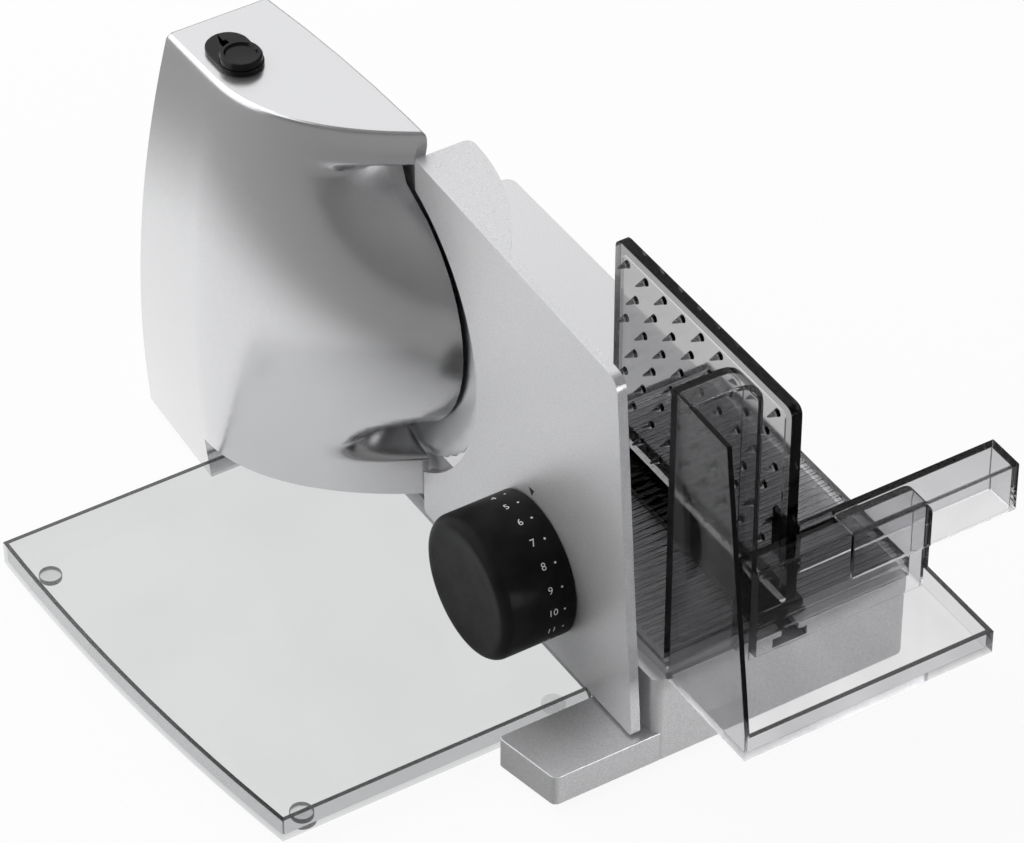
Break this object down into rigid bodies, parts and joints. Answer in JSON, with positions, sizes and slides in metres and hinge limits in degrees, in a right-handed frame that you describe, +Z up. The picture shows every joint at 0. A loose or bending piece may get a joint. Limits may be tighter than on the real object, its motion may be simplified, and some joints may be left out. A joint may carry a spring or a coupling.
{
  "type": "food slicer",
  "caption": "Electric food slicer with a round blade on a scooped motor tower, a stop plate set by a knob, a sliding carriage with a spiked pusher, and a slice tray.",
  "frame": {"origin": "centre of the slicer's box, on the table under the feet", "axes": "X from the slice tray to the carriage, Y from front to back along the carriage's travel, Z up"},
  "size_m": [0.357, 0.3936, 0.2359],
  "materials": {
    "silver": "satin",
    "dark_plastic": "matte",
    "black_plastic": "satin",
    "rubber": "matte",
    "steel": "satin",
    "blade_steel": "satin",
    "zinc": "satin",
    "bronze": "satin",
    "ferrite": "matte",
    "copper": "satin",
    "nylon": "matte",
    "smoke": "gloss",
    "clear": "gloss",
    "clear_feet": "matte"
  },
  "bodies": {
    "base": {"base_housing": "silver", "base_cover": "dark_plastic", "rubber_feet": "rubber", "cover_screws": "steel", "tower_screws": "steel", "cord_bush": "rubber", "motor_housing": "silver", "side_cover": "dark_plastic", "side_screws": "steel", "gear_bridge": "zinc", "shaft_bushes": "bronze", "worm_bush": "bronze", "motor_can": "zinc", "motor_magnets": "ferrite", "motor_caps": "dark_plastic", "motor_clamp": "steel", "switch_plate": "black_plastic", "micro_switch": "dark_plastic", "guide_bushes": "bronze", "cam_follower": "zinc"},
    "blade_set": {"blade": "blade_steel", "blade_hub": "black_plastic", "blade_lock": "black_plastic", "drive_shaft": "steel", "worm_wheel": "nylon"},
    "rotor": {"motor_shaft": "steel", "armature": "copper", "worm": "steel"},
    "stop": {"stop_plate": "silver", "guide_rods": "steel", "knob_axle": "steel"},
    "knob": {"setting_knob": "black_plastic"},
    "carriage_set": {"carriage": "smoke", "slide_shoe": "black_plastic"},
    "pusher_set": {"pusher_handle": "smoke", "pusher_plate": "smoke"},
    "button": {"switch_button": "black_plastic"},
    "tray_set": {"tray": "clear", "tray_feet": "clear_feet"}
  },
  "joints": [
    {"name": "blade_spin", "type": "hinge", "parent": "base", "child": "blade_set", "pos_m": [-0.0005, 0.08325, 0.122], "axis": [1, 0, 0], "continuous": true},
    {"name": "motor_spin", "type": "hinge", "parent": "base", "child": "rotor", "pos_m": [-0.0394, 0.11525, 0.122], "axis": [0, 0, 1], "continuous": true},
    {"name": "stop_slide", "type": "slide", "parent": "base", "child": "stop", "axis": [1, 0, 0], "range_m": [-0.012, 0.004]},
    {"name": "knob_turn", "type": "hinge", "parent": "stop", "child": "knob", "pos_m": [-0.0205, -0.05525, 0.063], "axis": [1, 0, 0], "range_deg": [-228.1, 76.1]},
    {"name": "carriage_slide", "type": "slide", "parent": "base", "child": "carriage_set", "axis": [0, 1, 0], "range_m": [0, 0.165]},
    {"name": "pusher_slide", "type": "slide", "parent": "carriage_set", "child": "pusher_set", "axis": [1, 0, 0], "range_m": [-0.041, 0.03]},
    {"name": "switch_slide", "type": "slide", "parent": "base", "child": "button", "axis": [0, 1, 0], "range_m": [0, 0.0115]},
    {"name": "tray_slide", "type": "slide", "parent": "base", "child": "tray_set", "axis": [-1, 0, 0], "range_m": [0, 0.15]}
  ],
  "couplings": [
    {"joint": "motor_spin", "follows": "blade_spin", "ratio": -32},
    {"joint": "knob_turn", "follows": "stop_slide", "rad_per_m": 331.61}
  ]
}
